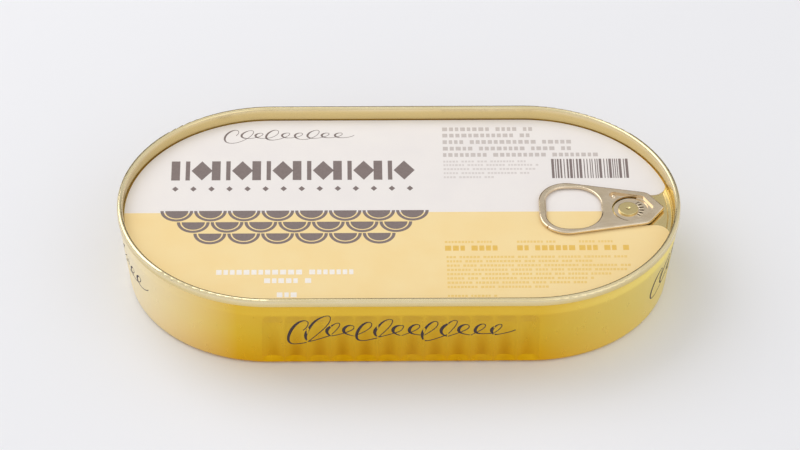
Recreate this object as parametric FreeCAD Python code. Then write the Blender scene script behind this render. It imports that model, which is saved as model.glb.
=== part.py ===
"""Oval fish tin with an easy-open end.

A drawn and fluted body, a double-seamed lid with its rivet formed in one piece, a stamped
ring-pull tab held by that rivet, and a thin label laid on the lid's panel. The origin is the
centre of the tin's footprint, +X runs along the length towards the tab's nose, +Z is up.
All sizes are in millimetres.
"""
import FreeCAD
import Part

import math
import os

# Overall sizes, measured over the double seam.
tin_length = 148.0
tin_width = 80.6
tin_height = 24.0

# Sheet gauges.
body_gauge = 0.20
lid_gauge = 0.25
label_gauge = 0.15

# Double seam: the lid's edge rolled round the top of the body's wall.
seam_thickness = 1.42
seam_height = 2.20
seam_top_rounding = 0.62
seam_foot_rounding = 0.30
body_hook_rise = 1.20

# Lid: chuck wall, countersink groove, flat panel and the score that it tears along.
panel_depth = 3.90
chuck_wall_lean = 0.12
countersink_depth = 0.60
countersink_floor = 0.28
countersink_rise_run = 0.12
lid_bend_rounding = 0.12
score_inset = 1.10
score_depth = 0.10
score_width = 0.30

# Body wall: a plain neck under the seam, a soft step out, then a tapered wall.
neck_height = 1.60
step_out = 0.38
step_height = 1.50
step_rounding = 2.40
foot_inset = 2.95
foot_rounding = 1.50

# Base: a rim to stand on, a raised panel and one expansion bead.
rim_width = 2.40
base_recess = 0.80
base_slope_run = 0.80
bead_inset = 9.00
bead_width = 2.00
bead_depth = 0.40
base_rounding = 0.25

# Flutes pressed into the tapered wall: they fade in under the step, deepen towards the foot
# and run out just above it.
flute_pitch = 6.00
flute_low_z = 0.80
flute_deep_z = 2.60
flute_deep_depth = 0.85
flute_upper_drop = 2.70
flute_upper_depth = 0.50
flute_end_depth = 0.03
flute_crest_proud = 0.04
flute_top_gap = 0.50
side_flutes = 12
end_flutes = 4

# Label.
label_overhang = 0.38
notch_half_width = 6.20
notch_mouth_rounding = 3.60

# Rivet, raised from the panel.
rivet_stem_radius = 1.60
rivet_head_radius = 2.65
rivet_head_height = 0.45
rivet_crown_rounding = 0.18
rivet_dimple_radius = 0.60
rivet_dimple_depth = 0.20
rivet_clearance = 0.04

# Ring-pull tab.
tab_tip_gap = 2.20
tab_tip_reach = 9.45
tab_tip_rounding = 0.80
tab_length = 33.00
ring_half_width = 10.30
ring_corner_radius = 7.50
shoulder_setback = 5.85
shoulder_half_width = 6.50
shoulder_radius = 3.00
rim_height = 0.95
rim_lift = 0.15
rim_rounding = 0.42
ring_rim = 1.95
side_rim = 1.80
hole_length = 14.50
hole_back_radius = 5.50
hole_front_radius = 7.00
cross_bar = 2.30
pocket_corner_radius = 1.20
pocket_side_rim = 1.70
pocket_shoulder_setback = 0.40
pocket_tip_setback = 3.40
pocket_floor = 0.40
stud_radius = 0.80
stud_sink = 0.35
tongue_radius = 4.55
tongue_slot = 0.50
tongue_shift = 0.75
tongue_hinge_angle = 69.0
tongue_gauge = 0.40
curl_gap_width = 0.35
curl_gap_depth = 0.40
curl_gap_angle = 222.0

# Levels and reaches worked out from the sizes above.
end_radius = tin_width / 2
end_centre = (tin_length - tin_width) / 2
seam_foot_z = tin_height - seam_height
panel_z = tin_height - panel_depth
chuck_reach = end_radius - seam_thickness
chuck_foot = chuck_reach - chuck_wall_lean
groove_foot = chuck_foot - countersink_floor
panel_reach = groove_foot - countersink_rise_run
panel_slope = math.atan2(countersink_depth, countersink_rise_run)
panel_flat_reach = panel_reach - (lid_gauge + lid_bend_rounding) * math.tan(panel_slope / 2)
body_reach = chuck_reach + lid_gauge + body_gauge
step_top_z = seam_foot_z - neck_height
step_foot_z = step_top_z - step_height
step_foot_reach = body_reach + step_out
foot_reach = end_radius - foot_inset
rivet_x = end_centre + panel_reach - tab_tip_gap - tab_tip_reach
flute_top_z = step_foot_z - flute_top_gap
tab_rim_z = panel_z + label_gauge + rim_lift
tab_top_z = tab_rim_z + rim_height

STEP_FOLDER = "parts"
TOUCHING = 1e-6


def up(z):
    """A vector straight up by z."""
    return FreeCAD.Vector(0, 0, z)


def rounded_wire(corners, place):
    """A closed wire through corners (a, b, radius), each corner rounded by its radius.

    place turns a flat pair (a, b) into a point in space.
    """
    count = len(corners)
    bends = []
    for i, (a, b, radius) in enumerate(corners):
        before = corners[i - 1]
        after = corners[(i + 1) % count]
        to_before = (before[0] - a, before[1] - b)
        to_after = (after[0] - a, after[1] - b)
        reach_before = math.hypot(*to_before)
        reach_after = math.hypot(*to_after)
        unit_before = (to_before[0] / reach_before, to_before[1] / reach_before)
        unit_after = (to_after[0] / reach_after, to_after[1] / reach_after)
        if radius == 0:
            bends.append(((a, b), None, (a, b)))
            continue
        cosine = unit_before[0] * unit_after[0] + unit_before[1] * unit_after[1]
        half = math.acos(cosine) / 2
        setback = radius / math.tan(half)
        start = (a + unit_before[0] * setback, b + unit_before[1] * setback)
        end = (a + unit_after[0] * setback, b + unit_after[1] * setback)
        middle = (unit_before[0] + unit_after[0], unit_before[1] + unit_after[1])
        bow = (radius / math.sin(half) - radius) / math.hypot(*middle)
        bends.append((start, (a + middle[0] * bow, b + middle[1] * bow), end))
    edges = []
    for i, (start, crown, end) in enumerate(bends):
        if crown:
            edges.append(Part.Arc(place(*start), place(*crown), place(*end)).toShape())
        run_end = place(*bends[(i + 1) % count][0])
        if place(*end).distanceToPoint(run_end) > TOUCHING:
            edges.append(Part.LineSegment(place(*end), run_end).toShape())
    return Part.Wire(edges)


def hull_wire(circles, z):
    """The tight band round circles (x, y, radius), which are given anticlockwise, at height z."""
    count = len(circles)
    tangents = []
    for i, (x, y, radius) in enumerate(circles):
        next_x, next_y, next_radius = circles[(i + 1) % count]
        gap = math.hypot(next_x - x, next_y - y)
        heading = math.atan2(next_y - y, next_x - x)
        normal = heading - math.acos((radius - next_radius) / gap)
        tangents.append(normal)

    def on_circle(circle, angle):
        x, y, radius = circle
        return FreeCAD.Vector(x + radius * math.cos(angle), y + radius * math.sin(angle), z)

    edges = []
    for i, circle in enumerate(circles):
        arrive = tangents[i - 1]
        leave = tangents[i]
        while leave < arrive:
            leave += 2 * math.pi
        middle = (arrive + leave) / 2
        start = on_circle(circle, arrive)
        end = on_circle(circle, leave)
        edges.append(Part.Arc(start, on_circle(circle, middle), end).toShape())
        following = circles[(i + 1) % count]
        edges.append(Part.LineSegment(end, on_circle(following, leave)).toShape())
    return Part.Wire(edges)


def hull_prism(circles, low, high):
    """An upright solid whose outline is the tight band round the circles."""
    return Part.Face(hull_wire(circles, low)).extrude(up(high - low))


def mirrored(circles):
    """Circles given from the back to the front on the -Y side, with their twins on the +Y side."""
    twins = [(x, -y, radius) for x, y, radius in reversed(circles) if y != 0]
    return circles + twins


def oval_solid(corners):
    """A solid whose section is the same all round an oval: straight sides and half-round ends.

    corners are (reach, z, rounding); reach is counted from the line between the end centres.
    """
    def section_point(reach, z):
        return FreeCAD.Vector(end_centre, -reach, z)

    section = Part.Face(rounded_wire(corners, section_point))
    axis_point = FreeCAD.Vector(end_centre, 0, 0)
    half_round = section.revolve(axis_point, up(1), 180)
    side = section.extrude(FreeCAD.Vector(-2 * end_centre, 0, 0))
    turned = []
    for piece in (half_round, side):
        other = piece.copy()
        other.rotate(up(0), up(1), 180)
        turned.append(other)
    return half_round.fuse([side] + turned).removeSplitter()


def lid_underside():
    """The lid's lower surface from the seam's pocket down to the panel, shared with the body."""
    bend = lid_bend_rounding
    outer = lid_gauge + bend
    groove_z = panel_z - countersink_depth
    return [
        (chuck_reach + lid_gauge, seam_foot_z + body_hook_rise, 0),
        (chuck_reach + lid_gauge, seam_foot_z, 0),
        (chuck_foot + lid_gauge, groove_z - lid_gauge, outer),
        (groove_foot - lid_gauge, groove_z - lid_gauge, outer),
        (panel_reach - lid_gauge, panel_z - lid_gauge, bend),
        (0, panel_z - lid_gauge, 0),
    ]


def body_section():
    """The body's section: base, foot, tapered wall, step, neck and the lid's underside."""
    rim_inner = foot_reach - foot_rounding - rim_width
    recess_reach = rim_inner - base_slope_run
    bead_outer = recess_reach - bead_inset
    bead_inner = bead_outer - bead_width
    bead_z = base_recess + bead_depth
    base = [
        (0, base_recess, 0),
        (bead_inner - bead_depth, base_recess, base_rounding),
        (bead_inner, bead_z, base_rounding),
        (bead_outer, bead_z, base_rounding),
        (bead_outer + bead_depth, base_recess, base_rounding),
        (recess_reach, base_recess, base_rounding),
        (rim_inner, 0, base_rounding),
        (foot_reach, 0, foot_rounding),
    ]
    wall = [
        (step_foot_reach, step_foot_z, step_rounding),
        (body_reach, step_top_z, step_rounding),
        (body_reach, seam_foot_z + body_hook_rise, 0),
    ]
    return base + wall + lid_underside()


def wall_reach(z):
    """How far out the tapered wall stands at height z."""
    return foot_reach + (step_foot_reach - foot_reach) * z / step_foot_z


def flute_cutter(sections):
    """A bar that presses one flute, ruled between sections (crest, deepest, crest, outside)."""
    wires = []
    for crest, deepest, next_crest, outside in sections:
        hollow = Part.Arc(crest, deepest, next_crest).toShape()
        back = Part.makePolygon([next_crest, outside, crest])
        wires.append(Part.Wire([hollow] + back.Edges))
    return Part.makeLoft(wires, True, True)


def flute_cutters():
    """One bar for each flute: rows along both sides, and a few round the middle of each end."""
    cutters = []
    half = flute_pitch / 2
    levels = [
        (flute_low_z, flute_end_depth),
        (flute_deep_z, flute_deep_depth),
        (flute_top_z - flute_upper_drop, flute_upper_depth),
        (flute_top_z, flute_end_depth),
    ]
    side_sections = []
    end_sections = []
    step = flute_pitch / wall_reach(flute_top_z / 2)
    for z, depth in levels:
        reach = wall_reach(z)
        crest = reach + flute_crest_proud
        along = crest * math.cos(step / 2)
        across = crest * math.sin(step / 2)
        deepest = FreeCAD.Vector(reach - depth, 0, z)
        outside = FreeCAD.Vector(reach + half, 0, z)
        side_sections.append((
            FreeCAD.Vector(crest, -half, z), deepest, FreeCAD.Vector(crest, half, z), outside,
        ))
        end_sections.append((
            FreeCAD.Vector(along, -across, z), deepest, FreeCAD.Vector(along, across, z), outside,
        ))
    for i in range(side_flutes):
        x = (i - (side_flutes - 1) / 2) * flute_pitch
        for turn in (90, -90):
            cutter = flute_cutter(side_sections)
            cutter.rotate(up(0), up(1), turn)
            cutter.translate(FreeCAD.Vector(x, 0, 0))
            cutters.append(cutter)
    for i in range(end_flutes):
        angle = math.degrees((i - (end_flutes - 1) / 2) * step)
        for turn in (0, 180):
            cutter = flute_cutter(end_sections)
            cutter.rotate(up(0), up(1), angle)
            cutter.translate(FreeCAD.Vector(end_centre, 0, 0))
            cutter.rotate(up(0), up(1), turn)
            cutters.append(cutter)
    return cutters


def make_body():
    """The drawn body, solid with its contents because the tin is shut."""
    return oval_solid(body_section()).cut(flute_cutters())


def make_rivet():
    """The hollow rivet raised from the panel, its stem through the tab and its head flattened."""
    head_z = panel_z + tongue_gauge
    head_top = head_z + rivet_head_height

    def section_point(reach, z):
        return FreeCAD.Vector(rivet_x + reach, 0, z)

    section = [
        (0, panel_z - lid_gauge / 2, 0),
        (rivet_stem_radius, panel_z - lid_gauge / 2, 0),
        (rivet_stem_radius, head_z, 0),
        (rivet_head_radius, head_z, 0),
        (rivet_head_radius, head_top, rivet_crown_rounding),
        (rivet_dimple_radius, head_top, 0),
        (0, head_top - rivet_dimple_depth, 0),
    ]
    face = Part.Face(rounded_wire(section, section_point))
    return face.revolve(FreeCAD.Vector(rivet_x, 0, 0), up(1), 360)


def make_lid():
    """The lid: seam, chuck wall, countersink, panel, score line and rivet in one piece."""
    bend = lid_bend_rounding
    outer = lid_gauge + bend
    groove_z = panel_z - countersink_depth
    score_outer = panel_reach - score_inset
    score_middle = score_outer - score_width / 2
    topside = [
        (0, panel_z, 0),
        (score_outer - score_width, panel_z, 0),
        (score_middle, panel_z - score_depth, 0),
        (score_outer, panel_z, 0),
        (panel_reach, panel_z, outer),
        (groove_foot, groove_z, bend),
        (chuck_foot, groove_z, bend),
        (chuck_reach, seam_foot_z, 0),
        (chuck_reach, tin_height, seam_top_rounding),
        (end_radius, tin_height, seam_top_rounding),
        (end_radius, seam_foot_z, seam_foot_rounding),
        (body_reach, seam_foot_z, 0),
        (body_reach, seam_foot_z + body_hook_rise, 0),
    ]
    return oval_solid(topside + lid_underside()).fuse(make_rivet()).removeSplitter()


def make_label():
    """The label: an oval sheet with a round-ended notch that clears the tab's rivet."""
    low = panel_z
    high = panel_z + label_gauge
    reach = panel_flat_reach + label_overhang
    ends = [(-end_centre, 0, reach), (end_centre, 0, reach)]
    sheet = hull_prism(ends, low, high)
    mouth_x = end_centre + reach
    cutter_end = mouth_x + notch_half_width
    notch = hull_prism([(rivet_x, 0, notch_half_width), (cutter_end, 0, notch_half_width)], low, high)
    sheet = sheet.cut(notch)
    corners = []
    for edge in sheet.Edges:
        middle = edge.CenterOfMass
        box = edge.BoundBox
        upright = abs(box.ZLength - label_gauge) < TOUCHING and box.XLength < TOUCHING
        if upright and middle.x > rivet_x + notch_half_width / 2 and abs(middle.y) < 2 * notch_half_width:
            corners.append(edge)
    return sheet.makeFillet(notch_mouth_rounding, corners)


def tab_outline():
    """Circles whose band is the tab's outline: ring, shoulders and pointed nose."""
    tip_x = rivet_x + tab_tip_reach
    ring_x = tip_x - tab_length + ring_corner_radius
    return mirrored([
        (ring_x, ring_corner_radius - ring_half_width, ring_corner_radius),
        (tip_x - shoulder_setback, shoulder_radius - shoulder_half_width, shoulder_radius),
        (tip_x - tab_tip_rounding, 0, tab_tip_rounding),
    ])


def finger_hole_outline():
    """Circles whose band is the finger hole."""
    back_x = rivet_x + tab_tip_reach - tab_length + ring_rim
    half_width = ring_half_width - side_rim
    front_x = back_x + hole_length
    return mirrored([
        (back_x + hole_back_radius, hole_back_radius - half_width, hole_back_radius),
        (front_x - hole_front_radius, hole_front_radius - half_width, hole_front_radius),
    ])


def pocket_outline():
    """Circles whose band is the sunk pocket round the rivet, kept inside the tab's side rims."""
    hole_front = rivet_x + tab_tip_reach - tab_length + ring_rim + hole_length
    back_x = hole_front + cross_bar + pocket_corner_radius
    ring, shoulder, tip = tab_outline()[:3]
    along = (back_x - ring[0]) / (shoulder[0] - ring[0])
    ring_half = ring[2] - ring[1]
    shoulder_half = shoulder[2] - shoulder[1]
    back_half = ring_half + (shoulder_half - ring_half) * along - pocket_side_rim
    front_radius = shoulder[2] - pocket_side_rim
    return mirrored([
        (back_x, pocket_corner_radius - back_half, pocket_corner_radius),
        (shoulder[0] - pocket_shoulder_setback, shoulder[1], front_radius),
        (tip[0] - pocket_tip_setback, 0, front_radius),
    ])


def round_rims(shape, radius, levels):
    """Rounds every edge of shape that lies flat at one of the levels."""
    flat = []
    for edge in shape.Edges:
        box = edge.BoundBox
        if box.ZLength < TOUCHING and any(abs(box.ZMin - level) < TOUCHING for level in levels):
            flat.append(edge)
    return shape.makeFillet(radius, flat)


def tongue_slot_cutter(low, high):
    """The C-shaped slit that frees the tongue which the rivet holds."""
    centre = FreeCAD.Vector(rivet_x + tongue_shift, 0, low)
    outer = Part.makeCylinder(tongue_radius + tongue_slot, high - low, centre)
    inner = Part.makeCylinder(tongue_radius, high - low, centre)
    reach = 2 * (tongue_radius + tongue_slot)
    hinge = math.radians(tongue_hinge_angle)
    wedge = Part.Face(Part.makePolygon([
        centre,
        centre + FreeCAD.Vector(reach * math.cos(hinge), -reach * math.sin(hinge), 0),
        centre + FreeCAD.Vector(reach, -reach * math.sin(hinge), 0),
        centre + FreeCAD.Vector(reach, reach * math.sin(hinge), 0),
        centre + FreeCAD.Vector(reach * math.cos(hinge), reach * math.sin(hinge), 0),
        centre,
    ])).extrude(up(high - low))
    return outer.cut([inner, wedge])


def curl_gap_cutter():
    """The nick where the rolled edge of the ring meets itself."""
    x, y, radius = tab_outline()[0]
    box = Part.makeBox(2 * curl_gap_depth, curl_gap_width, rim_height)
    box.translate(FreeCAD.Vector(radius - curl_gap_depth, -curl_gap_width / 2, tab_rim_z))
    box.rotate(up(0), up(1), curl_gap_angle)
    box.translate(FreeCAD.Vector(x, y, 0))
    return box


def pocket_stud(floor_z):
    """The small domed stud in the pocket's rear corner on the +Y side."""
    x, y, radius = pocket_outline()[0]
    centre = FreeCAD.Vector(x, -y, floor_z - stud_sink)
    start_angle = math.degrees(math.asin(stud_sink / stud_radius))
    return Part.makeSphere(stud_radius, centre, up(1), start_angle, 90, 360)


def make_tab():
    """The stamped ring-pull tab: rolled rims, finger hole, sunk pocket, stud and slit tongue."""
    floor_z = tab_rim_z + pocket_floor
    ring = hull_prism(tab_outline(), tab_rim_z, tab_top_z)
    ring = ring.cut(hull_prism(finger_hole_outline(), tab_rim_z, tab_top_z))
    ring = round_rims(ring, rim_rounding, (tab_rim_z, tab_top_z))
    ring = ring.cut(hull_prism(pocket_outline(), floor_z, tab_top_z))
    ring = ring.fuse(pocket_stud(floor_z))
    ring = ring.cut(tongue_slot_cutter(tab_rim_z, tab_top_z))
    tongue_centre = FreeCAD.Vector(rivet_x + tongue_shift, 0, panel_z)
    tongue_room = Part.makeCylinder(tongue_radius, tab_top_z - panel_z, tongue_centre)
    tongue = Part.makeCylinder(tongue_radius, tongue_gauge, tongue_centre)
    hole_radius = rivet_stem_radius + rivet_clearance
    hole_foot = FreeCAD.Vector(rivet_x, 0, panel_z)
    stem_hole = Part.makeCylinder(hole_radius, tab_top_z - panel_z, hole_foot)
    return ring.cut(tongue_room).fuse(tongue).cut([stem_hole, curl_gap_cutter()])


def export(node, shape):
    """Checks that shape is one sound solid and writes it as that node's STEP file."""
    if len(shape.Solids) != 1 or not shape.isValid():
        raise ValueError(f"{node} is {len(shape.Solids)} solids, valid: {shape.isValid()}")
    solid = shape.Solids[0]
    solid.exportStep(os.path.join(STEP_FOLDER, node + ".step"))
    box = solid.BoundBox
    print(f"{node}: {solid.Volume:.0f} mm3")
    print(f"{box.XLength:.2f} x {box.YLength:.2f} x {box.ZLength:.2f} mm")


os.makedirs(STEP_FOLDER, exist_ok=True)
export("can_body", make_body())
export("lid", make_lid())
export("lid_label", make_label())
export("ring_pull_tab", make_tab())
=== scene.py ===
import math
import random

import bpy
from mathutils import Matrix, Vector


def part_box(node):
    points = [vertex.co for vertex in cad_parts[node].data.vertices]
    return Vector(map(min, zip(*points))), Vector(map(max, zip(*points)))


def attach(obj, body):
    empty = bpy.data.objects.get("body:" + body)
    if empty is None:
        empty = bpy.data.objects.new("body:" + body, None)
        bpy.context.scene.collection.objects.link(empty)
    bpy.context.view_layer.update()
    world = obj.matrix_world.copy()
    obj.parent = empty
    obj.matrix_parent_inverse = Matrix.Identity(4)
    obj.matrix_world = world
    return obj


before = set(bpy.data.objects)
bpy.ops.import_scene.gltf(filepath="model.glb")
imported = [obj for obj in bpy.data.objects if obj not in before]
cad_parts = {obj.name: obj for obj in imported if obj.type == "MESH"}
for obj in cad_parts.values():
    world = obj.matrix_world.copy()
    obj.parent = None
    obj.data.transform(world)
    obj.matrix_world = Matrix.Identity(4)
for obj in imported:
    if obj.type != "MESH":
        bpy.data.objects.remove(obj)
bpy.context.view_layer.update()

# ---------------------------------------------------------------------------------------------
# The can body. One piece of tinplate drawn to depth with a plain neck, a soft step out below it
# and flutes pressed into the tapered wall. Its satin gold lacquer carries painted shade, deeper
# towards the foot and in the flutes, and painted highlights that pale it round the ends.
# ---------------------------------------------------------------------------------------------
MM = 0.001
wave_rate = 20  # radians that a wave texture turns through in each unit, at a scale of 1


def tint(red, green, blue):
    """A colour given in the usual 0 to 255 steps, as the linear value that a shader takes."""
    def linear(step):
        share = step / 255
        return share / 12.92 if share <= 0.04045 else ((share + 0.055) / 1.055) ** 2.4
    return (linear(red), linear(green), linear(blue), 1.0)


def new_finish(name):
    """A new material, its node tree and its shader."""
    finish = bpy.data.materials.new(name)
    finish.use_nodes = True
    return finish, finish.node_tree, finish.node_tree.nodes["Principled BSDF"]


def add_noise(tree, grain, detail=3.0, stretch=(1, 1, 1)):
    """Noise with features about grain metres wide, stretched along the object's own axes."""
    mapping = tree.nodes.new("ShaderNodeMapping")
    mapping.inputs["Scale"].default_value = stretch
    noise = tree.nodes.new("ShaderNodeTexNoise")
    noise.inputs["Scale"].default_value = 1 / grain
    noise.inputs["Detail"].default_value = detail
    tree.links.new(add_point(tree), mapping.inputs["Vector"])
    tree.links.new(mapping.outputs["Vector"], noise.inputs["Vector"])
    return noise.outputs["Fac"]


def add_ramp(tree, source, stops):
    """A colour ramp over source, with (position, colour) stops."""
    ramp = tree.nodes.new("ShaderNodeValToRGB")
    while len(ramp.color_ramp.elements) < len(stops):
        ramp.color_ramp.elements.new(1.0)
    for element, (position, colour) in zip(ramp.color_ramp.elements, stops):
        element.position = position
        element.color = colour
    tree.links.new(source, ramp.inputs["Fac"])
    return ramp.outputs["Color"]


def add_range(tree, source, low, high, to_low=0.0, to_high=1.0):
    """source taken from low..high to to_low..to_high, held at both ends."""
    spread = tree.nodes.new("ShaderNodeMapRange")
    spread.inputs["From Min"].default_value = low
    spread.inputs["From Max"].default_value = high
    spread.inputs["To Min"].default_value = to_low
    spread.inputs["To Max"].default_value = to_high
    tree.links.new(source, spread.inputs["Value"])
    return spread.outputs["Result"]


def add_point(tree):
    """The object's own coordinates, in metres."""
    return tree.nodes.new("ShaderNodeTexCoord").outputs["Object"]


def add_place(tree, axis):
    """The object's own X, Y or Z coordinate, in metres."""
    split = tree.nodes.new("ShaderNodeSeparateXYZ")
    tree.links.new(add_point(tree), split.inputs["Vector"])
    return split.outputs[axis]


def add_wave(tree, source, pitch):
    """Even waves along source's X, from 0 to 1 and back once in each pitch."""
    wave = tree.nodes.new("ShaderNodeTexWave")
    wave.inputs["Scale"].default_value = 2 * math.pi / (wave_rate * pitch)
    tree.links.new(source, wave.inputs["Vector"])
    return wave.outputs["Fac"]


def add_mix(tree, share, first, second):
    """Two colours mixed by share, which is a socket or a number."""
    mix = tree.nodes.new("ShaderNodeMix")
    mix.data_type = "RGBA"
    for socket, value in (("Factor", share), ("A", first), ("B", second)):
        slots = [s for s in mix.inputs if s.name == socket and s.enabled]
        if isinstance(value, bpy.types.NodeSocket):
            tree.links.new(value, slots[0])
        else:
            slots[0].default_value = value
    return [s for s in mix.outputs if s.enabled][0]


def add_bump(tree, shader, layers):
    """Relief on the shader from (height socket, depth in metres) layers, one over the other."""
    normal = None
    for height, depth in layers:
        bump = tree.nodes.new("ShaderNodeBump")
        bump.inputs["Strength"].default_value = 1.0
        bump.inputs["Distance"].default_value = depth
        tree.links.new(height, bump.inputs["Height"])
        if normal:
            tree.links.new(normal, bump.inputs["Normal"])
        normal = bump.outputs["Normal"]
    tree.links.new(normal, shader.inputs["Normal"])


def dress(node, finish):
    """Gives a node or a piece its finish, in place of any that it has."""
    node.data.materials.clear()
    node.data.materials.append(finish)


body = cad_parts["can_body"]
foot_shade_tone = tint(243, 190, 0)
wall_tone = tint(236, 198, 58)
neck_tone = tint(232, 191, 66)
pale_tone = tint(240, 202, 80)
left_highlight_tone = tint(255, 242, 205)
right_highlight_tone = tint(255, 236, 140)
flute_shade_tone = tint(214, 156, 0)
flute_pitch = 6 * MM
flutes_full = 30 * MM
flutes_end = 37 * MM
neck_z = 20 * MM
upright_grain = (1, 1, 0.25)
gold, tree, shader = new_finish("gold_lacquer")
height = add_range(tree, add_place(tree, "Z"), 0.0, neck_z)
# Painted shade: the lacquer's tone changes with height and is deepest and most saturated towards
# the foot, for the shadowed floor that the lower wall reflects.
height_shade = add_ramp(tree, height, [(0.0, foot_shade_tone), (0.6, wall_tone), (1.0, neck_tone)])
# Painted shade: one side of each flute takes a deeper tone, standing in for the shading of the
# flutes' relief.
flutes = add_range(tree, add_wave(tree, add_point(tree), flute_pitch), 0.25, 1.0, 0.0, 0.75)
flute_shade = add_mix(tree, flutes, height_shade, flute_shade_tone)
# The flutes' painted shade fades out upwards, and past the last flute on each side.
flute_shade = add_mix(tree, add_range(tree, height, 0.8, 0.15), height_shade, flute_shade)
for side in (-1, 1):
    inside = add_range(tree, add_place(tree, "X"), side * flutes_end, side * flutes_full)
    flute_shade = add_mix(tree, inside, height_shade, flute_shade)
clouds = add_range(tree, add_noise(tree, 18 * MM, 2.0), 0.42, 0.75, 0.0, 0.25)
lacquer = add_mix(tree, clouds, flute_shade, pale_tone)
# Painted highlights make the lacquer paler towards both ends.
for start, full, most, highlight_tone in (
    (-42 * MM, -71 * MM, 0.95, left_highlight_tone),
    (36 * MM, 68 * MM, 0.9, right_highlight_tone),
):
    end_highlight_share = add_range(tree, add_place(tree, "X"), start, full, 0.0, most)
    lacquer = add_mix(tree, end_highlight_share, lacquer, highlight_tone)
tree.links.new(lacquer, shader.inputs["Base Color"])
grain = add_noise(tree, 1.2 * MM, 4.0, upright_grain)
tree.links.new(add_range(tree, grain, 0.3, 0.7, 0.27, 0.33), shader.inputs["Roughness"])
shader.inputs["Metallic"].default_value = 1.0
shader.inputs["Coat Weight"].default_value = 0.08
shader.inputs["Coat Roughness"].default_value = 0.2
add_bump(tree, shader, [(grain, 0.003 * MM), (add_noise(tree, 0.25 * MM, 2.0), 0.001 * MM)])
dress(body, gold)

# ---------------------------------------------------------------------------------------------
# The lid. Its edge is rolled over the body's wall in a double seam, and its chuck wall, groove,
# panel and rivet are one pressing. It is lacquered a paler gold than the body, palest on the
# seam.
# ---------------------------------------------------------------------------------------------
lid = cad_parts["lid"]
sunk_tone = tint(229, 208, 148)
sunk_start = 23.4 * MM
sunk_full = 22.4 * MM
pale_gold, tree, shader = new_finish("pale_gold_lacquer")
clouds = add_noise(tree, 14 * MM, 2.0)
seam_gold = add_ramp(tree, clouds, [(0.35, tint(236, 219, 172)), (0.7, tint(240, 225, 184))])
sunk = add_range(tree, add_place(tree, "Z"), sunk_start, sunk_full)
tree.links.new(add_mix(tree, sunk, seam_gold, sunk_tone), shader.inputs["Base Color"])
grain = add_noise(tree, 2.5 * MM, 3.0, (0.3, 1, 1))
tree.links.new(add_range(tree, grain, 0.3, 0.7, 0.23, 0.27), shader.inputs["Roughness"])
shader.inputs["Metallic"].default_value = 1.0
shader.inputs["Coat Weight"].default_value = 0.3
shader.inputs["Coat Roughness"].default_value = 0.12
add_bump(tree, shader, [(grain, 0.0012 * MM)])
dress(lid, pale_gold)

# ---------------------------------------------------------------------------------------------
# The label. A sheet of matt coated paper glued on the lid's panel and cut round the rivet. Its
# upper part is printed white and its lower part pale yellow.
# ---------------------------------------------------------------------------------------------
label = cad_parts["lid_label"]
label_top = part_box("lid_label")[1].z
split_y = -0.4 * MM
split_softness = 0.06 * MM
paper, tree, shader = new_finish("label_paper")
fibre = add_noise(tree, 0.35 * MM, 4.0)
mottle = add_noise(tree, 9 * MM, 2.0)
white = add_ramp(tree, mottle, [(0.3, tint(240, 234, 231)), (0.7, tint(243, 237, 233))])
yellow = add_ramp(tree, mottle, [(0.3, tint(249, 220, 158)), (0.7, tint(250, 224, 166))])
upper = add_range(tree, add_place(tree, "Y"), split_y - split_softness, split_y + split_softness)
tree.links.new(add_mix(tree, upper, yellow, white), shader.inputs["Base Color"])
tree.links.new(add_range(tree, fibre, 0.3, 0.7, 0.50, 0.62), shader.inputs["Roughness"])
shader.inputs["Specular IOR Level"].default_value = 0.35
add_bump(tree, shader, [(fibre, 0.01 * MM)])
dress(label, paper)

# ---------------------------------------------------------------------------------------------
# The label's print. Plain blocks, stripes, lozenges and scallops stand where a maker would set
# words and a picture. Each is a film of ink a few hundredths of a millimetre thick.
# ---------------------------------------------------------------------------------------------
ink_film = 0.02 * MM
ink_sink = 0.01 * MM


def new_ink(name, colour, darker):
    """Ink soaked a little unevenly into paper."""
    ink, tree, shader = new_finish(name)
    speckle = add_noise(tree, 0.5 * MM, 5.0)
    shades = add_ramp(tree, speckle, [(0.35, darker), (0.65, colour)])
    tree.links.new(shades, shader.inputs["Base Color"])
    tree.links.new(add_range(tree, speckle, 0.3, 0.7, 0.45, 0.6), shader.inputs["Roughness"])
    add_bump(tree, shader, [(speckle, 0.004 * MM)])
    return ink


def only(piece):
    """Selects one piece and nothing else."""
    bpy.ops.object.select_all(action="DESELECT")
    piece.select_set(True)
    bpy.context.view_layer.objects.active = piece


def finish_piece(piece, name, finish):
    """Names a finished piece, gives it its finish and lets it ride with the tin."""
    only(piece)
    bpy.ops.object.transform_apply(location=True, rotation=True, scale=True)
    piece.name = name
    piece.data.name = name
    dress(piece, finish)
    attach(piece, "root")


def raise_pattern():
    """Makes the active flat pattern, in edit mode, a closed solid with a height of one."""
    bpy.ops.mesh.select_all(action="SELECT")
    bpy.ops.mesh.extrude_region_move(TRANSFORM_OT_translate={"value": (0, 0, 1)})
    bpy.ops.mesh.select_all(action="SELECT")
    bpy.ops.mesh.normals_make_consistent(inside=False)
    bpy.ops.object.mode_set(mode="OBJECT")


def stamp(pattern, places):
    """Prints a pattern at each (x, y, width, depth), in millimetres, and joins the prints."""
    prints = []
    for x, y, width, depth in places:
        copy = pattern.copy()
        copy.data = pattern.data.copy()
        bpy.context.collection.objects.link(copy)
        copy.data.transform(Matrix.Diagonal((width * MM, depth * MM, ink_film + ink_sink, 1)))
        copy.data.transform(Matrix.Translation((x * MM, y * MM, label_top - ink_sink)))
        prints.append(copy)
    only(prints[0])
    for copy in prints:
        copy.select_set(True)
    bpy.ops.object.join()
    return bpy.context.object


chance = random.Random(7)


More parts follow.
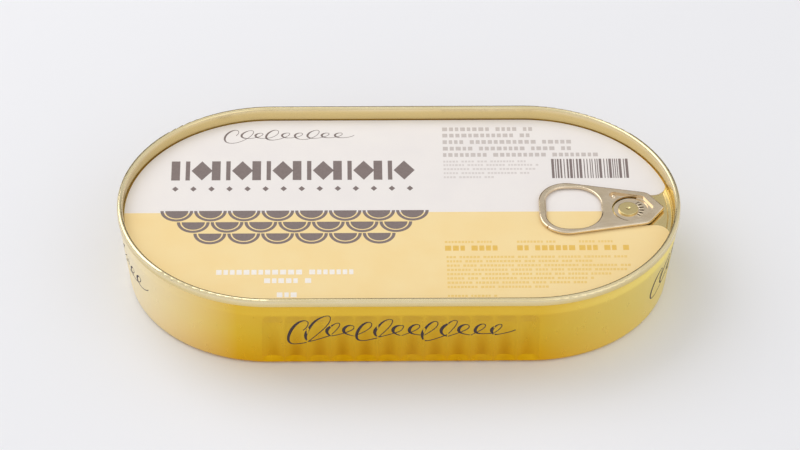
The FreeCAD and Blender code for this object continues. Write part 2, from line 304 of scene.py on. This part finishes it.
def word_row(left, right, y, tall, mark, gap, letters):
    """Places for a row of small blocks set in groups, as words of print are."""
    narrowest, widest = 0.75, 1.15
    word_gap = 1.6 * gap + 0.4 * mark
    places = []
    x = left
    in_word = 0
    word = chance.randint(*letters)
    while x + mark < right:
        width = mark * chance.uniform(narrowest, widest)
        places.append((x + width / 2, y, width, tall))
        x += width + gap
        in_word += 1
        if in_word == word:
            x += word_gap
            in_word = 0
            word = chance.randint(*letters)
    return places


taupe = new_ink("taupe_ink", tint(134, 120, 117), tint(126, 112, 109))
pale_taupe = new_ink("pale_taupe_ink", tint(208, 199, 194), tint(202, 192, 187))
faint_taupe = new_ink("faint_taupe_ink", tint(223, 215, 211), tint(219, 210, 206))
white_ink = new_ink("white_ink", tint(250, 244, 238), tint(246, 238, 228))
amber_ink = new_ink("amber_ink", tint(238, 196, 98), tint(234, 190, 88))
faint_amber = new_ink("faint_amber_ink", tint(243, 208, 128), tint(240, 203, 118))

# The two patterns that most of the print is stamped from, a block and a lozenge.
bpy.ops.object.select_all(action="DESELECT")
bpy.ops.mesh.primitive_plane_add(size=1)
block = bpy.context.object
bpy.ops.object.mode_set(mode="EDIT")
raise_pattern()
bpy.ops.object.select_all(action="DESELECT")
bpy.ops.mesh.primitive_circle_add(vertices=4, radius=0.5, fill_type="NGON")
lozenge = bpy.context.object
bpy.ops.object.mode_set(mode="EDIT")
raise_pattern()

# Title: pairs of heavy upright bars with a lozenge between them.
title_left = -60.2
title_right = 4.3
title_y = 17.1
title_tall = 8.0
motif_count = 6
motif_pitch = (title_right - title_left) / motif_count
bar_wide = 2.3
thin_bar = 0.5 * bar_wide
thin_bar_x = 1.9 * bar_wide
bars_wide = 2.4 * bar_wide
lozenge_wide = 5.6
bars = []
for i in range(motif_count):
    left = title_left + i * motif_pitch
    bars.append((left + bar_wide / 2, title_y, bar_wide, title_tall))
    bars.append((left + thin_bar_x, title_y, thin_bar, title_tall))
finish_piece(stamp(block, bars), "label_title_bars", taupe)

lozenges = []
for i in range(motif_count):
    middle = title_left + i * motif_pitch + bars_wide + (motif_pitch - bars_wide) / 2
    lozenges.append((middle, title_y, lozenge_wide, title_tall))
finish_piece(stamp(lozenge, lozenges), "label_title_lozenges", taupe)

# Sub-title: a widely spaced row of small marks.
mark_count = 14
mark_inset = 1.2
mark_y = 9.5
mark_wide = 1.7
mark_tall = 2.1
mark_pitch = (title_right - title_left - 2 * mark_inset) / (mark_count - 1)
small_marks = []
for i in range(mark_count):
    small_marks.append((title_left + mark_inset + i * mark_pitch, mark_y, mark_wide, mark_tall))
finish_piece(stamp(lozenge, small_marks), "label_sub_title", taupe)

# Scallops: rows of round scales, each a rim and a centre, that hang under one another.
scale_radius = 4.3
scale_rim = 0.85
scale_gap = 0.40
scale_rows = (8, 7, 6)
scale_middle = -27.4
scale_top = 0.4
scale_step = 2 * scale_radius + 0.25
row_step = scale_radius + 0.35
bpy.ops.object.select_all(action="DESELECT")
bpy.ops.mesh.primitive_circle_add(vertices=48, radius=scale_radius, fill_type="NGON")
scallop = bpy.context.object
bpy.ops.object.mode_set(mode="EDIT")
bpy.ops.mesh.select_all(action="SELECT")
bpy.ops.mesh.inset(thickness=scale_rim)
bpy.ops.mesh.inset(thickness=scale_gap)
bpy.ops.object.mode_set(mode="OBJECT")
gap_middle = scale_radius - scale_rim - scale_gap / 2
bpy.context.tool_settings.mesh_select_mode = (False, False, True)
for face in scallop.data.polygons:
    face.select = abs(face.center.length - gap_middle) < scale_gap / 2
bpy.ops.object.mode_set(mode="EDIT")
bpy.ops.mesh.delete(type="FACE")
bpy.ops.mesh.select_all(action="SELECT")
bpy.ops.mesh.bisect(plane_co=(0, 0, 0), plane_no=(0, 1, 0), clear_outer=True, use_fill=False)
raise_pattern()
scallops = []
for row, count in enumerate(scale_rows):
    for i in range(count):
        x = scale_middle + (i - (count - 1) / 2) * scale_step
        scallops.append((x, scale_top - row * row_step, 1, 1))
finish_piece(stamp(scallop, scallops), "label_scallops", taupe)

# Upper right: five rows of small pale blocks and five fainter rows.
upper_left = 12.2
rows = []
for right, y in ((37.3, 34.4), (37.2, 31.7), (47.0, 28.9), (47.7, 26.1), (55.3, 23.4)):
    rows += word_row(upper_left, right, y, tall=1.55, mark=1.2, gap=0.5, letters=(3, 12))
finish_piece(stamp(block, rows), "label_text_upper", pale_taupe)
rows = []
for right, y in ((34.5, 20.6), (37.9, 19.1), (36.6, 17.4), (35.3, 15.7), (26.2, 14.0)):
    rows += word_row(upper_left, right, y, tall=0.75, mark=0.65, gap=0.25, letters=(3, 9))
finish_piece(stamp(block, rows), "label_text_faint", faint_taupe)

# Stripes: a plain row of thin and thick lines.
stripes_left = 41.0
stripes_right = 61.6
stripe_y = 17.5
stripe_tall = 8.1
stripes = []
x = stripes_left
while x < stripes_right:
    width = chance.choice((0.25, 0.25, 0.45, 0.7))
    stripes.append((x + width / 2, stripe_y, width, stripe_tall))
    x += width + chance.choice((0.3, 0.3, 0.55))
finish_piece(stamp(block, stripes), "label_stripes", taupe)

# Lower left: three centred rows of white blocks.
rows = []
for middle, half, y in ((-29.0, 18.6, -24.5), (-29.0, 6.2, -27.9), (-29.2, 2.7, -33.5)):
    left, right = middle - half, middle + half
    rows += word_row(left, right, y, tall=1.9, mark=1.4, gap=0.5, letters=(4, 12))
finish_piece(stamp(block, rows), "label_text_white", white_ink)

# Lower right: three headings, a thin row over each, and a paragraph of thin rows.
headings_y = -15.2
over_headings_y = -12.7
paragraph_left = 12.1
paragraph_top = -18.8
paragraph_pitch = 1.7
last_row_y = -34.2
rows = []
for left, right in ((11.8, 26.8), (30.6, 45.8), (46.8, 61.4)):
    rows += word_row(left, right, headings_y, tall=2.0, mark=1.4, gap=0.45, letters=(2, 7))
finish_piece(stamp(block, rows), "label_headings", amber_ink)
rows = []
for left, right in ((11.8, 24.3), (30.6, 40.9), (46.8, 57.0)):
    rows += word_row(
        left, right, over_headings_y, tall=0.8, mark=0.65, gap=0.25, letters=(4, 9)
    )
for i, right in enumerate((60.0, 50.0, 60.3, 59.0, 56.0, 50.0, 48.3, 38.9)):
    y = paragraph_top - i * paragraph_pitch
    rows += word_row(paragraph_left, right, y, tall=0.8, mark=0.7, gap=0.25, letters=(3, 10))
rows += word_row(
    paragraph_left, 24.7, last_row_y, tall=0.8, mark=0.7, gap=0.25, letters=(3, 6)
)
finish_piece(stamp(block, rows), "label_paragraph", faint_amber)

for pattern in (block, lozenge, scallop):
    bpy.data.objects.remove(pattern)

# ---------------------------------------------------------------------------------------------
# Pen flourishes. A line of slanted running loops, thin on the upstroke and thick on the
# downstroke, is printed on the label and in dark ink on all four sides of the body's wall.
# ---------------------------------------------------------------------------------------------
def new_flourish(length, tall, thick, loops):
    """A flat ribbon of slanted running loops along X, rising in Y; sizes are in millimetres."""
    steps_per_loop = 48
    slant = 0.55
    least_swell = 0.32
    swells = ((0.08, 0.07, 0.68), (0.38, 0.05, 0.45), (0.68, 0.05, 0.4))
    thinnest = 0.3
    steps = steps_per_loop * loops
    line = bpy.data.curves.new("flourish", "CURVE")
    line.dimensions = "3D"
    line.twist_mode = "Z_UP"
    line.extrude = thick * MM / 2
    spline = line.splines.new("POLY")
    spline.points.add(steps)
    for i, point in enumerate(spline.points):
        share = i / steps
        turn = 2 * math.pi * loops * share
        swell = least_swell
        for centre, width, gain in swells:
            swell += gain * math.exp(-((share - centre) / width) ** 2)
        rise = tall / 2 * swell * math.sin(turn)
        bow = (0.35 + 0.4 * swell) * length / loops * math.cos(turn)
        point.co = ((length * (share - 0.5) + bow + slant * rise) * MM, rise * MM, 0, 1)
        point.tilt = math.pi / 2
        point.radius = thinnest + (1 - thinnest) * max(0.0, -math.cos(turn)) ** 1.5
    piece = bpy.data.objects.new("flourish", line)
    bpy.context.collection.objects.link(piece)
    only(piece)
    bpy.ops.object.convert(target="MESH")
    return bpy.context.object


def wrap(piece, place):
    """Lays a flat ribbon on the body's wall; place turns its (x, y) into a point outside it."""
    for point in piece.data.vertices:
        point.co = place(point.co.x, point.co.y)
    only(piece)
    snug = piece.modifiers.new("snug", "SHRINKWRAP")
    snug.target = body
    snug.wrap_method = "PROJECT"
    snug.use_negative_direction = True
    snug.wrap_mode = "ABOVE_SURFACE"
    snug.offset = ink_film / 2
    bpy.ops.object.modifier_apply(modifier=snug.name)


def thicken(piece, film):
    """Gives a flat ribbon its film of ink."""
    only(piece)
    solid = piece.modifiers.new("film", "SOLIDIFY")
    solid.thickness = film
    solid.offset = 0
    bpy.ops.object.modifier_apply(modifier=solid.name)


flourish_x = -29.2 * MM
flourish_y = 32.0 * MM
flourish = new_flourish(length=32.0, tall=6.5, thick=0.55, loops=9)
flourish.data.transform(Matrix.Translation((flourish_x, flourish_y, label_top + ink_film / 2)))
thicken(flourish, ink_film)
finish_piece(flourish, "label_flourish", taupe)

dark_ink = new_ink("dark_ink", tint(62, 50, 60), tint(52, 41, 50))
end_centre = 33.7 * MM
wall_clear = 40.5 * MM
flourish_z = 12.6 * MM
for name, turn in (("wall_flourish_front", 0), ("wall_flourish_back", 180)):
    around = Matrix.Rotation(math.radians(turn), 4, "Z")
    flourish = new_flourish(length=55.0, tall=12.0, thick=0.85, loops=13)
    wrap(flourish, lambda x, y: around @ Vector((x, -wall_clear, flourish_z + y)))
    thicken(flourish, ink_film)
    finish_piece(flourish, name, dark_ink)
for name, turn in (("wall_flourish_right", 0), ("wall_flourish_left", 180)):
    around = Matrix.Rotation(math.radians(turn), 4, "Z")
    flourish = new_flourish(length=46.0, tall=10.5, thick=0.8, loops=11)
    wrap(flourish, lambda x, y: around @ Vector((
        end_centre + wall_clear * math.cos(x / wall_clear),
        wall_clear * math.sin(x / wall_clear),
        flourish_z + y,
    )))
    thicken(flourish, ink_film)
    finish_piece(flourish, name, dark_ink)

# ---------------------------------------------------------------------------------------------
# The ring-pull tab. A stamping of champagne-lacquered steel with rolled rims, held by the
# lid's rivet. A fan of small ridges is pressed into its tongue, beyond the rivet's head.
# ---------------------------------------------------------------------------------------------
def add_vector_step(tree, operation, source, by=None):
    """One step of vector arithmetic on source; by is the second vector, where it takes one."""
    step = tree.nodes.new("ShaderNodeVectorMath")
    step.operation = operation
    tree.links.new(source, step.inputs[0])
    if by is not None:
        step.inputs[1].default_value = by
    return step.outputs["Value" if operation in ("LENGTH", "DOT_PRODUCT") else "Vector"]


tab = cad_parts["ring_pull_tab"]
steel, tree, shader = new_finish("champagne_steel")
clouds = add_noise(tree, 5 * MM, 3.0)
tree.links.new(
    add_ramp(tree, clouds, [(0.35, tint(226, 207, 177)), (0.7, tint(237, 220, 195))]),
    shader.inputs["Base Color"],
)
grain = add_noise(tree, 0.5 * MM, 4.0, (0.15, 1, 1))
tree.links.new(add_range(tree, grain, 0.3, 0.7, 0.17, 0.25), shader.inputs["Roughness"])
shader.inputs["Metallic"].default_value = 1.0
rivet_x = 60.41 * MM
ridges_per_turn = 20
flat = (0, 0, 0, 1)
from_rivet = add_vector_step(tree, "SUBTRACT", add_point(tree), (rivet_x, 0, 0))
reach = add_vector_step(tree, "LENGTH", add_vector_step(tree, "MULTIPLY", from_rivet, (1, 1, 0)))
sweep = tree.nodes.new("ShaderNodeTexGradient")
sweep.gradient_type = "RADIAL"
tree.links.new(from_rivet, sweep.inputs["Vector"])
turn = sweep.outputs["Fac"]
fan = add_wave(tree, turn, 1 / ridges_per_turn)
# The fan keeps to the tongue's width and to a ring round the rivet's head.
for source, off, full in (
    (turn, 0.36, 0.40),
    (turn, 0.64, 0.60),
    (reach, 2.9 * MM, 3.1 * MM),
    (reach, 4.3 * MM, 4.0 * MM),
):
    fan = add_mix(tree, add_range(tree, source, off, full), flat, fan)
add_bump(tree, shader, [(grain, 0.001 * MM), (clouds, 0.02 * MM), (fan, 0.07 * MM)])
dress(tab, steel)

# ---------------------------------------------------------------------------------------------
# The studio: a plain pale floor, a white surround that is dark low down beyond the table, a large
# soft key light from behind on the left, a weaker one in front, and the camera.
# ---------------------------------------------------------------------------------------------
floor_size = 8.0
floor_colour = (0.875, 0.875, 0.905, 1)
bpy.ops.object.select_all(action="DESELECT")
bpy.ops.mesh.primitive_plane_add(size=floor_size, location=(0, 1, 0))
floor = bpy.context.object
floor.name = "floor"
floor_finish, tree, shader = new_finish("pale_floor")
shader.inputs["Base Color"].default_value = floor_colour
shader.inputs["Roughness"].default_value = 0.8
shader.inputs["Specular IOR Level"].default_value = 0.2
dress(floor, floor_finish)

surround_strength = 0.775
surround = bpy.data.worlds.new("surround")
surround.use_nodes = True
tree = surround.node_tree
background = tree.nodes["Background"]
heading = tree.nodes.new("ShaderNodeTexCoord")
dark_wide = (0.45, 1, 1)
dark_middle = Vector((0, 0.95, 0.31)).normalized()
dark_start, dark_full = 0.93, 0.965
dark_colour = (0.06, 0.05, 0.035, 1)
white_colour = (1.0, 1.0, 1.0, 1)
narrowed = add_vector_step(tree, "MULTIPLY", heading.outputs["Generated"], dark_wide)
evened = add_vector_step(tree, "NORMALIZE", narrowed)
nearness = add_vector_step(tree, "DOT_PRODUCT", evened, dark_middle)
dim = add_range(tree, nearness, dark_start, dark_full)
shade = add_mix(tree, dim, white_colour, dark_colour)
tree.links.new(shade, background.inputs["Color"])
background.inputs["Strength"].default_value = surround_strength
bpy.context.scene.world = surround


def add_lamp(name, direction, distance, size, energy):
    """A square soft light that faces the tin from the given direction."""
    lamp = bpy.data.lights.new(name, "AREA")
    lamp.size = size
    lamp.energy = energy
    light = bpy.data.objects.new(name, lamp)
    bpy.context.collection.objects.link(light)
    light.location = direction.normalized() * distance
    light.rotation_euler = (-direction).to_track_quat("-Z", "Y").to_euler()


add_lamp("key", Vector((-0.5, 0.41, 0.76)), distance=1.0, size=0.8, energy=3.2)
add_lamp("fill", Vector((0.6, -0.75, 0.6)), distance=1.3, size=1.2, energy=1.6)

camera_pitch = math.radians(39.871)
camera_yaw = math.radians(1.298)
camera_roll = math.radians(0.585)
camera_distance = 1.13848
camera_aim = Vector((0.00077, 0.01854, 0))
camera_lens = 190.05
sensor_wide = 36
view = bpy.data.cameras.new("camera")
view.sensor_width = sensor_wide
view.lens = camera_lens
camera = bpy.data.objects.new("camera", view)
bpy.context.collection.objects.link(camera)
turned = (
    Matrix.Rotation(-camera_yaw, 4, "Z")
    @ Matrix.Rotation(math.pi / 2 - camera_pitch, 4, "X")
    @ Matrix.Rotation(camera_roll, 4, "Z")
)
back = turned @ Vector((0, 0, camera_distance))
camera.matrix_world = Matrix.Translation(camera_aim + back) @ turned
bpy.context.scene.camera = camera
bpy.context.scene.view_settings.view_transform = "Standard"
